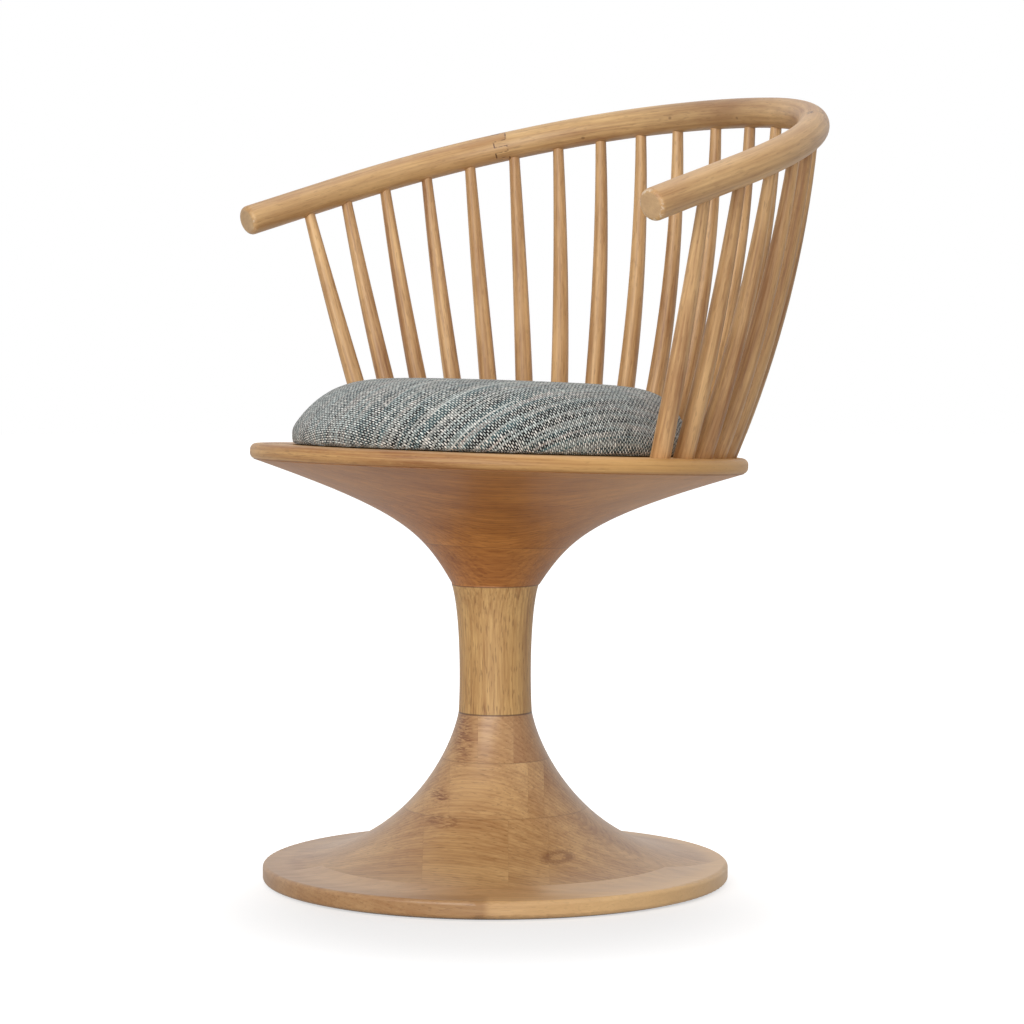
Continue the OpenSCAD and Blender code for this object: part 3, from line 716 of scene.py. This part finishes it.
def finish_hidden():
    """Felt, grip discs, rod with its washers and nuts, and the cushion's foam and board."""
    speckled("wool_felt", ["base_felt"], 900, 3, 0.7,
             [(0.2, tone(52, 50, 48)), (0.8, tone(104, 100, 96))], 0.0006, Roughness=0.95)
    speckled("loop_tape", ["grip_discs"], 1500, 2, 0.7,
             [(0.3, tone(14, 14, 16)), (0.8, tone(58, 58, 62))], 0.0008, Roughness=0.9)
    speckled("zinc_plate", ["tie_rod", "rod_washers", "rod_nuts"], 240, 3, 0.6,
             [(0.3, tone(168, 170, 172)), (0.7, tone(206, 208, 212))], 0.00005, varied=0.2,
             Metallic=1.0, Roughness=0.25)

    foam = Finish("open_foam")
    cell = foam.node(
        "ShaderNodeTexVoronoi", {}, {"Vector": foam.join(*foam.place()), "Scale": 420},
        output="Distance",
    )
    foam.wire(
        Base_Color=foam.ramp(cell, [(0.1, tone(196, 186, 150)), (0.6, tone(240, 234, 210))]),
        Roughness=0.9,
    )
    foam.relief(cell, 0.001)
    dress("cushion_foam", foam)

    board = Finish("birch_plywood")
    x, y, z = board.place()
    odd_ply = (z / 0.0015).floor() % 2
    streak = board.noise(board.join(x * 30, y * 600, z * 600), 1, 3)
    birch = board.ramp(streak, [(0.2, tone(190, 158, 112)), (0.8, tone(228, 202, 160))])
    board.wire(Base_Color=board.blend(odd_ply * 0.6, birch, tone(160, 120, 78)), Roughness=0.7)
    board.relief(streak, 0.0002)
    dress("cushion_board", board)


# Making of meshes


def choose(piece):
    """Select one piece alone and make it the active one."""
    bpy.ops.object.select_all(action="DESELECT")
    piece.select_set(True)
    bpy.context.view_layer.objects.active = piece


def apply_all(piece):
    """Make all of a piece's modifiers part of its mesh."""
    choose(piece)
    for modifier in list(piece.modifiers):
        bpy.ops.object.modifier_apply(modifier=modifier.name)


def ring_of_edges(name, radius, sides, place=(0, 0, 0), turn=(0, 0, 0)):
    """A round cross-section, left in edit mode with all of it selected."""
    bpy.ops.object.select_all(action="DESELECT")
    bpy.ops.mesh.primitive_circle_add(
        vertices=sides, radius=radius, fill_type="NOTHING", location=place, rotation=turn
    )
    piece = bpy.context.object
    piece.name = name
    piece.data.name = name
    bpy.ops.object.transform_apply(location=True, rotation=True, scale=True)
    bpy.ops.object.mode_set(mode="EDIT")
    bpy.ops.mesh.select_all(action="SELECT")
    return piece


def extrude(move):
    """Draw the selected ring out to a next one."""
    bpy.ops.mesh.extrude_region_move(TRANSFORM_OT_translate={"value": move})


def scale_ring(factor, centre, along=None):
    """Make the selected ring larger or smaller, and keep its length along where given."""
    bpy.ops.transform.resize(
        value=(factor, factor, factor if along is None else along), center_override=centre
    )


def close_up(piece):
    """Fill open ends, merge doubles and turn the faces outwards."""
    choose(piece)
    bpy.ops.object.mode_set(mode="EDIT")
    bpy.ops.mesh.select_all(action="SELECT")
    bpy.ops.mesh.remove_doubles(threshold=0.00001)
    bpy.ops.mesh.select_all(action="DESELECT")
    bpy.ops.mesh.select_non_manifold(extend=False)
    bpy.ops.mesh.edge_face_add()
    bpy.ops.mesh.select_all(action="SELECT")
    bpy.ops.mesh.normals_make_consistent(inside=False)
    bpy.ops.object.mode_set(mode="OBJECT")


def copy_of(piece, name):
    other = piece.copy()
    other.data = piece.data.copy()
    other.name = other.data.name = name
    bpy.context.collection.objects.link(other)
    return other


def keep_places(piece, name, places):
    """Store a place in the straight wood or the flat cloth for each point of a piece."""
    layer = piece.data.attributes.new(name, "FLOAT_VECTOR", "POINT")
    layer.data.foreach_set("vector", np.asarray(places, dtype=np.float32).ravel())


def finish_object(piece, finish, slot, *nodes):
    """Give a finished mesh its material, and let it ride in place of its nodes."""
    piece.data.materials.clear()
    piece.data.materials.append(finish.material)
    choose(piece)
    bpy.ops.object.shade_smooth_by_angle(angle=radians(38))
    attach(piece, "root")
    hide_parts(*nodes)


# Rail, bent in its own plane and then raised to its slope


def spin_rail(from_angle, to_angle, centre, steps):
    """Sweep the selected ring along a bend of the rail."""
    bpy.ops.mesh.spin(
        steps=steps, angle=to_angle - from_angle, center=(centre[0], centre[1], 0),
        axis=(0, 0, 1), use_auto_merge=True,
    )


def rail_grain(piece):
    """Grain coordinates of a rail that still lies flat in its own plane."""
    grain = []
    for vertex in piece.data.vertices:
        u, v, w = vertex.co
        side = -1 if u < 0 else 1
        place = Vector((abs(u), v))
        angle = atan2(place.x, place.y)
        if angle <= BACK_ANGLE:
            length, out = angle * BACK_BEND, place.length - BACK_BEND
        else:
            away = place - SHOULDER_CENTRE
            angle = atan2(away.x, away.y)
            if angle <= SHOULDER_END:
                length = BACK_LENGTH + (angle - BACK_ANGLE) * SHOULDER_BEND
                out = away.length - SHOULDER_BEND
            else:
                ahead = Vector((cos(SHOULDER_END), -sin(SHOULDER_END)))
                outward = Vector((sin(SHOULDER_END), cos(SHOULDER_END)))
                length = BENDS_LENGTH + away.dot(ahead)
                out = away.dot(outward) - SHOULDER_BEND
        grain.append((out, w, side * length))
    keep_places(piece, "grain", grain)


def rail_finish():
    """Wood of the bent rail, with its finger joints and worn arm ends."""
    finish = Finish("rail_wood")
    out, up, along = finish.attribute("grain")
    half = abs(along)

    # The fingers of both lengths reach past each other, in bands by turns
    band = (up + RAIL_R) / FINGER
    flip = (band.floor() % 2) * 2 - 1
    edge = half - FINGER_PLACE - flip * (FINGER_LENGTH / 2)
    beyond = edge > 0
    luck = beyond * 0.37 + beyond * (along < 0) * 0.21
    colour, height, streak = wooden(
        finish, along + luck, out + luck, up + luck * 2, RAIL_WOOD,
        pith=(0.02, -0.3), clouds=0.9, bands=0.9, ticks=0.25,
    )
    colour = finish.blend(beyond * 0.2, colour, tone(198, 150, 96))
    # Painted shade: the rail darkens round the middle of its back
    colour = finish.blend((1 - half.between(0.03, 0.13)) * 0.25, colour, tone(100, 64, 34))
    near = abs(half - FINGER_PLACE) < FINGER_LENGTH / 2 + 0.0005
    side_of_finger = (0.5 - abs(band.fract() - 0.5)) * FINGER
    line = (1 - side_of_finger.between(0.0001, 0.0006)) * near
    line = line.most(1 - abs(edge).between(0.0003, 0.0012))
    patchy = finish.noise(finish.join(up * 260, out * 260, along * 260), 1, 2).between(0.34, 0.6)
    colour = finish.blend(line * patchy * 0.9, colour, tone(80, 46, 22))

    # Small dark spots on the inner side, by height and place along the rail
    for at_up, at_along in ((-0.0014, 0.0502), (0.0033, -0.0518), (-0.0049, -0.1662)):
        spot = (((up - at_up) / 0.0016) ** 2 + ((along - at_along) / 0.0024) ** 2).root()
        spot = (1 - spot.between(0.5, 1.2)) * (out < 0)
        colour = finish.blend(spot * 0.55, colour, tone(96, 58, 28))

    # End grain, and an edge round it that is worn pale in places
    face = (half - (RAIL_END - 0.0004)).between(-0.0003, 0.0003)
    colour = finish.blend(face * 0.5, colour, tone(186, 158, 122))
    tip = (half - (RAIL_END - 0.0035)).between(0, 0.0025) * (1 - face)
    chips = finish.noise(finish.join(out * 260, up * 260, along * 160), 1, 2).between(0.5, 0.62)
    colour = finish.blend(tip * chips * 0.75, colour, tone(226, 206, 178))
    satin(finish, colour, height, streak, 0.42, 0.18)
    return finish


def bend_rails():
    """Sweep the crest and one arm along the bends, and mirror both."""
    finish = rail_finish()
    sides = 40
    joint_angle = rail_flat(FINGER_PLACE)[1]

    crest = ring_of_edges("bent_crest_rail", RAIL_R, sides, (0, BACK_BEND, 0), (0, pi / 2, 0))
    spin_rail(0, BACK_ANGLE, (0, 0), 8)
    spin_rail(BACK_ANGLE, joint_angle, SHOULDER_CENTRE, 18)
    bpy.ops.mesh.edge_face_add()
    bpy.ops.object.mode_set(mode="OBJECT")
    mirror = crest.modifiers.new("other_half", "MIRROR")
    mirror.use_axis = (True, False, False)
    mirror.merge_threshold = 0.0001
    apply_all(crest)
    close_up(crest)

    place = SHOULDER_CENTRE + SHOULDER_BEND * Vector((sin(joint_angle), cos(joint_angle)))
    right_arm = ring_of_edges(
        "bent_arm_right", RAIL_R, sides, (place.x, place.y, 0), (0, pi / 2, -joint_angle)
    )
    spin_rail(joint_angle, SHOULDER_END, SHOULDER_CENTRE, 18)
    grow_arm_end()
    bpy.ops.object.mode_set(mode="OBJECT")
    close_up(right_arm)
    left_arm = copy_of(right_arm, "bent_arm_left")
    left_arm.data.transform(Matrix.Scale(-1, 4, (1, 0, 0)))
    left_arm.data.flip_normals()
    for piece, node in ((crest, "crest_rail"), (right_arm, "arm_right"), (left_arm, "arm_left")):
        rail_grain(piece)
        piece.data.transform(
            Matrix.Translation(RAIL_ORIGIN) @ Matrix.Rotation(RAIL_SLOPE, 4, "X")
        )
        finish_object(piece, finish, "rail_wood", node)


def grow_arm_end():
    """Extrude the selected ring along the straight arm and close it with a rounded end."""
    ahead = Vector((cos(SHOULDER_END), -sin(SHOULDER_END), 0))
    end = rail_flat(BENDS_LENGTH)[0].to_3d()
    for step in ARM_STEPS:
        extrude(ahead * step)
        end += ahead * step
    rings = [
        (END_ROUND * (sin(turn) - sin(before)), RAIL_R - END_ROUND * (1 - cos(turn)))
        for before, turn in zip(END_TURNS, END_TURNS[1:])
    ]
    radius = RAIL_R
    for step, size in rings + [(END_DOME, size) for size in END_RINGS]:
        extrude(ahead * step)
        end += ahead * step
        scale_ring(size / radius, end)
        radius = size
    bpy.ops.mesh.edge_face_add()


# Spindles


def spindle_line(number):
    """Middle line of a spindle from the rail to the seat, as a function of its share."""
    from_middle = abs(number - SPINDLES_A_SIDE - 1)
    side = -1 if number <= SPINDLES_A_SIDE else 1
    along, around = 0, 0
    if from_middle:
        along = FIRST_TOP + (from_middle - 1) * TOP_PITCH
        around = radians(FIRST_FOOT + (from_middle - 1) * FOOT_PITCH)
    top = on_rail(along, side)
    foot = on_seat(side * FOOT_R * sin(around), FOOT_R * cos(around), AIM_H)
    bow = LEAST_BOW + MORE_BOW * (1 - (from_middle / SPINDLES_A_SIDE) ** BOW_FALL)
    heading = (foot - top).normalized()
    middle = (foot + top) / 2
    outward = Vector((middle.x, middle.y, 0)).normalized()
    outward = (outward - outward.dot(heading) * heading).normalized()

    def at(share):
        return top.lerp(foot, share) + outward * (4 * share * (1 - share) * bow)

    return at


def spindle_radius(share):
    """Thin at the rail, and soon thicker towards the seat."""
    return SPINDLE_TOP_R + (SPINDLE_FOOT_R - SPINDLE_TOP_R) * (1 - (1 - share) ** TAPER)


def spindle_finish():
    """Wood of the spindles, each with its own grain and shade."""
    finish = Finish("spindle_wood")
    x, y, along = finish.attribute("grain")
    own = finish.chance((along / GRAIN_SHIFT[2] + 0.3).floor())
    colour, height, streak = wooden(
        finish, along, x, y, SPINDLE_WOOD, pith=(0.0, -0.4),
        clouds=0.8, bands=1.3, fibre=1.2, ticks=0.3,
    )
    colour = finish.blend(own * 0.3, colour, tone(206, 160, 102))
    satin(finish, colour, height, streak, 0.42, 0.12)
    return finish


def turn_spindles():
    """Turn one straight blank, and bend a copy of it along each spindle's middle line."""
    blank = ring_of_edges("spindle_blank", spindle_radius(0), 24)
    bpy.ops.mesh.edge_face_add()
    for i in range(1, BLANK_RINGS + 1):
        extrude((0, 0, 1 / BLANK_RINGS))
        factor = spindle_radius(i / BLANK_RINGS) / spindle_radius((i - 1) / BLANK_RINGS)
        scale_ring(factor, (0, 0, i / BLANK_RINGS), 1)
    bpy.ops.object.mode_set(mode="OBJECT")
    close_up(blank)

    finish = spindle_finish()
    for number in range(1, 2 * SPINDLES_A_SIDE + 2):
        at = spindle_line(number)
        points = [at(FIRST_SHARE + SHARES * i / PATH_STEPS) for i in range(PATH_STEPS + 1)]
        length = sum((b - a).length for a, b in zip(points, points[1:]))
        piece = copy_of(blank, "turned_spindle_%02d" % number)
        piece.data.transform(Matrix.Diagonal((1, 1, length, 1)))
        across, sideways, along = GRAIN_SHIFT
        shift = Vector((across * number, sideways * (number % 5), along * number))
        keep_places(piece, "grain", [vertex.co + shift for vertex in piece.data.vertices])
        path = bpy.data.curves.new("spindle_path", "CURVE")
        path.dimensions = "3D"
        spline = path.splines.new("POLY")
        spline.points.add(len(points) - 1)
        for target, point in zip(spline.points, points):
            target.co = (*point, 1)
        guide = bpy.data.objects.new("spindle_path", path)
        bpy.context.collection.objects.link(guide)
        bend = piece.modifiers.new("bow", "CURVE")
        bend.object = guide
        bend.deform_axis = "POS_Z"
        bpy.context.view_layer.update()
        apply_all(piece)
        bpy.data.objects.remove(guide)
        finish_object(piece, finish, "spindle_wood", "spindle_%02d" % number)
    bpy.data.objects.remove(blank)


# Cushion


def pad_outline(angle, around, inset=0.0):
    """Radius and height of the cushion: 90 degrees is the crown, -90 the underside."""
    full = PAD_FULL + PAD_FULLER_BACK * sin(around)
    radius = PAD_R - inset * 0.2
    top = PAD_TOP - inset
    a = radians(angle)
    if angle >= 0:
        share = max(cos(a), 0) ** (2 / full)
        rise = PAD_SLOPE * sin(a) + (1 - PAD_SLOPE) * sin(a) ** PAD_DOME
        height = PAD_BELLY + (top - PAD_BELLY) * rise + PAD_CROWN * (1 - share ** 2)
        radius *= share
    else:
        height = PAD_BELLY * (1 + sin(a))
        radius -= PAD_DRAW * (1 - cos(a))
    bulge = PAD_BULGE * exp(-((height - PAD_BULGE_H) / PAD_BULGE_REACH) ** 2)
    return radius + bulge, height


def pad_place(radius, height, around):
    """Point of the cushion, from its own frame."""
    return on_seat(
        radius * cos(around), radius * sin(around) - PAD_FORWARD, PAD_BOTTOM + height
    )


def pad_frame(point):
    """Place and height of a point in the cushion's own frame."""
    c, s = cos(SEAT_TILT), sin(SEAT_TILT)
    y, z = point.y, point.z - SEAT
    return (point.x, y * c - z * s + PAD_FORWARD), y * s + z * c - PAD_BOTTOM


def woven_finish():
    """Plain weave: rows of changing colour run front to back, and pale dashes cross them."""
    finish = Finish("woven_tweed")
    u, v, _ = finish.attribute("weave")

    # The threads wander a little, and stand or lie unevenly
    sway = finish.noise(finish.join(u * 38, v * 38, 3), 1, 3, 0.6) - 0.5
    sway_too = finish.noise(finish.join(u * 38, v * 38, 9), 1, 3, 0.6) - 0.5
    jitter = finish.noise(finish.join(u * 210, v * 210, 5), 1, 1) - 0.5
    row = (u + sway * 0.0034 + jitter * 0.0012) / ROW_PITCH
    pick = (v + sway_too * 0.0034 + jitter * 0.0012) / PICK_PITCH
    row_index, pick_index = row.floor(), pick.floor()
    across, ahead = row.fract() - 0.5, pick.fract() - 0.5

    # Each dash lies over one row and reaches a little over the rows beside it
    own = (row_index + pick_index) % 2
    from_middle = abs(across) * own + (1 - abs(across)) * (1 - own)
    dash_row = row_index + (1 - own) * ((across > 0) * 2 - 1)
    dash_tone = finish.chance(dash_row, pick_index, 5)
    dash_size = finish.chance(dash_row, pick_index, 8)
    spread = (
        (from_middle * (ROW_PITCH / DASH_LENGTH)) ** 2 + (ahead * (PICK_PITCH / DASH_WIDTH)) ** 2
    ).root() * (dash_size * 0.5 + 0.8)
    dash = 1 - spread.between(0.72, 1.08)

    # Yarn of the rows, which changes from row to row and along each row
    row_tone = finish.chance(row_index, 6)
    stretch = (v / 0.13 + row_tone * 9).floor()
    yarn = finish.ramp(
        row_tone * 0.5 + finish.chance(row_index, stretch, 2) * 0.5,
        [(0.0, tone(20, 23, 25)), (0.22, tone(60, 82, 86)), (0.36, tone(128, 132, 130)),
         (0.44, tone(38, 45, 48)), (0.54, tone(158, 160, 157)), (0.63, tone(158, 150, 146)),
         (0.72, tone(88, 112, 115)), (0.80, tone(22, 26, 28)), (0.90, tone(190, 193, 190))],
        "CONSTANT",
    )
    # Painted shade: the yarn darkens towards the right side, and a little towards the left
    right = to_right(u, v)
    painted_side_shade = right.between(0.0, 0.13, 0.0, 0.5) + right.between(-0.15, -0.05, 0.3, 0.0)
    yarn = finish.blend(painted_side_shade, yarn, tone(22, 25, 27))
    pale = finish.ramp(
        dash_tone,
        [(0.0, tone(172, 178, 177)), (0.25, tone(214, 218, 215)), (0.7, tone(240, 240, 236)),
         (1.0, tone(253, 251, 246))],
    )
    patch = finish.noise(finish.join(u * 150, v * 22, 7), 1, 2).between(0.35, 0.65)
    tint = finish.blend(patch, tone(236, 245, 245), tone(255, 251, 247))
    colour = finish.blend(dash, yarn, pale)
    colour = finish.blend(1.0, colour, tint, "MULTIPLY")

    # Threads are round, and painted shade darkens them where they dip under each other
    round_row = 1 - (across * 2) ** 2
    round_dash = 1 - spread.least(1) ** 2
    height = dash * (round_dash * 0.5 + 0.5) + (1 - dash) * round_row * 0.55
    shade = height.between(0.0, 0.5, 0.18, 1.0)
    colour = finish.blend(1.0, colour, finish.join(shade, shade, shade), "MULTIPLY")
    finish.wire(Base_Color=colour, Roughness=0.92, Sheen_Weight=0.3, Sheen_Roughness=0.5,
                Specular_IOR_Level=0.2)
    finish.relief(height, 0.0009, 0.8)
    return finish


def shape_cushion():
    """Lay a ball's points on the cushion's outline, even out its mesh and make it swell."""
    start_inset = PAD_SHRINK
    bpy.ops.object.select_all(action="DESELECT")
    bpy.ops.mesh.primitive_uv_sphere_add(segments=96, ring_count=80, radius=1)
    pad = bpy.context.object
    pad.name = pad.data.name = "woven_cushion"
    outline_share = 0.7
    for vertex in pad.data.vertices:
        x, y, z = vertex.co
        around = atan2(y, x)
        fall = degrees(acos(max(min(z, 1), -1))) / 180
        angle = 90 - 180 * min(fall / outline_share, 1)
        radius, height = pad_outline(angle, around, start_inset)
        if fall > outline_share:
            radius *= (1 - fall) / (1 - outline_share)
        if hypot(x, y) < 1e-6:
            radius = 0
        vertex.co = pad_place(radius, height, around)
    remesh = pad.modifiers.new("even_mesh", "REMESH")
    remesh.mode = "VOXEL"
    remesh.voxel_size = 0.0055
    apply_all(pad)
    outline = outline_around()
    swell(pad, outline)
    smooth = pad.modifiers.new("soften", "SMOOTH")
    smooth.factor = 0.5
    smooth.iterations = 4
    subdivide = pad.modifiers.new("finer", "SUBSURF")
    subdivide.levels = subdivide.render_levels = 1
    apply_all(pad)
    settle(pad, outline)
    keep_places(pad, "weave", [weave_place(outline, vertex.co) for vertex in pad.data.vertices])
    finish_object(pad, woven_finish(), "woven_cover", "cushion")


def outline_around(turns=96):
    """Outlines of the cushion from its crown to the middle of its underside, all the way round."""
    steps = np.concatenate([np.linspace(90, 0, 60), np.linspace(-5, -90, 18)])
    lines = []
    for k in range(turns + 1):
        line = [pad_outline(angle, 2 * pi * k / turns) for angle in steps]
        lines.append([(0.0, line[0][1])] + line[1:] + [(0.0, 0.0)])
    return np.array(lines)


def near_outline(outline, point):
    """Nearest place of the cushion's outline to a point, which way is out there, how far that
    place is from the crown, and how far out the point lies."""
    (x, y), h = pad_frame(point)
    turn = (atan2(y, x) % (2 * pi)) / (2 * pi) * (len(outline) - 1)
    before = min(int(turn), len(outline) - 2)
    share = turn - before
    line = outline[before] * (1 - share) + outline[before + 1] * share
    here = np.array([hypot(x, y), h])
    along = line[1:] - line[:-1]
    lengths = np.hypot(along[:, 0], along[:, 1])
    part = ((here - line[:-1]) * along).sum(1) / np.maximum(lengths ** 2, 1e-12)
    part = np.clip(part, 0, 1)
    places = line[:-1] + along * part[:, None]
    k = int(((places - here) ** 2).sum(1).argmin())
    away = np.array([-along[k, 1], along[k, 0]]) / lengths[k]
    return places[k], away, lengths[:k].sum() + part[k] * lengths[k], (here - places[k]) @ away


def off_outline(near, away, point, gap):
    """Place at a distance out from the outline, in a point's direction round the cushion."""
    (x, y), _ = pad_frame(point)
    return pad_place(near[0] + away[0] * gap, near[1] + away[1] * gap, atan2(y, x))


def swell(pad, outline):
    """Blow the cover up with cloth, and keep the unevenness that this gives its surface."""
    start = [(vertex.co.copy(), vertex.normal.copy()) for vertex in pad.data.vertices]
    held = pad.vertex_groups.new(name="held")
    underside = []
    for vertex in pad.data.vertices:
        place, height = pad_frame(vertex.co)
        if height < 0.004 and hypot(*place) < PAD_R - 0.012:
            underside.append(vertex.index)
    held.add(underside, 1.0, "REPLACE")
    cloth = pad.modifiers.new("cover", "CLOTH")
    settings = cloth.settings
    settings.quality = 6
    settings.mass = 0.3
    settings.tension_stiffness = 15
    settings.compression_stiffness = 15
    settings.shear_stiffness = 5
    settings.bending_stiffness = 0.5
    settings.use_pressure = True
    settings.uniform_pressure_force = 4
    settings.vertex_group_mass = "held"
    settings.effector_weights.gravity = 0
    cloth.collision_settings.use_self_collision = False
    scene = bpy.context.scene
    for step in range(1, CLOTH_STEPS + 1):
        scene.frame_set(step)
    apply_all(pad)
    moves = [
        (vertex.co - place).dot(out) for vertex, (place, out) in zip(pad.data.vertices, start)
    ]
    reach = max(moves)
    for vertex, (place, _), move in zip(pad.data.vertices, start, moves):
        near, away, _, _ = near_outline(outline, place)
        puff = min(max(move / reach, 0), 1) - 0.5
        vertex.co = off_outline(near, away, place, puff * 2 * PAD_UNEVEN)
    scene.frame_set(1)


def settle(pad, outline):
    """Keep the cover outside its foam and its underside on the seat."""
    for vertex in pad.data.vertices:
        near, away, _, gap = near_outline(outline, vertex.co)
        if gap < PAD_SUNK:
            vertex.co = off_outline(near, away, vertex.co, PAD_SUNK)
        (x, y), h = pad_frame(vertex.co)
        if h < PAD_LIFT:
            vertex.co = on_seat(x, y - PAD_FORWARD, PAD_BOTTOM + PAD_LIFT)


def weave_place(outline, point):
    """How far a point lies from the crown along the cover, split by direction, and in all."""
    (x, y), _ = pad_frame(point)
    around = atan2(y, x)
    length = near_outline(outline, point)[2]
    return length * cos(around), length * sin(around), length


place_camera()
light_world()
for lamp in LAMPS:
    soft_lamp(*lamp)
lay_floor()
finish_base()
finish_disc()
finish_column()
finish_seat()
finish_hidden()
bend_rails()
turn_spindles()
shape_cushion()
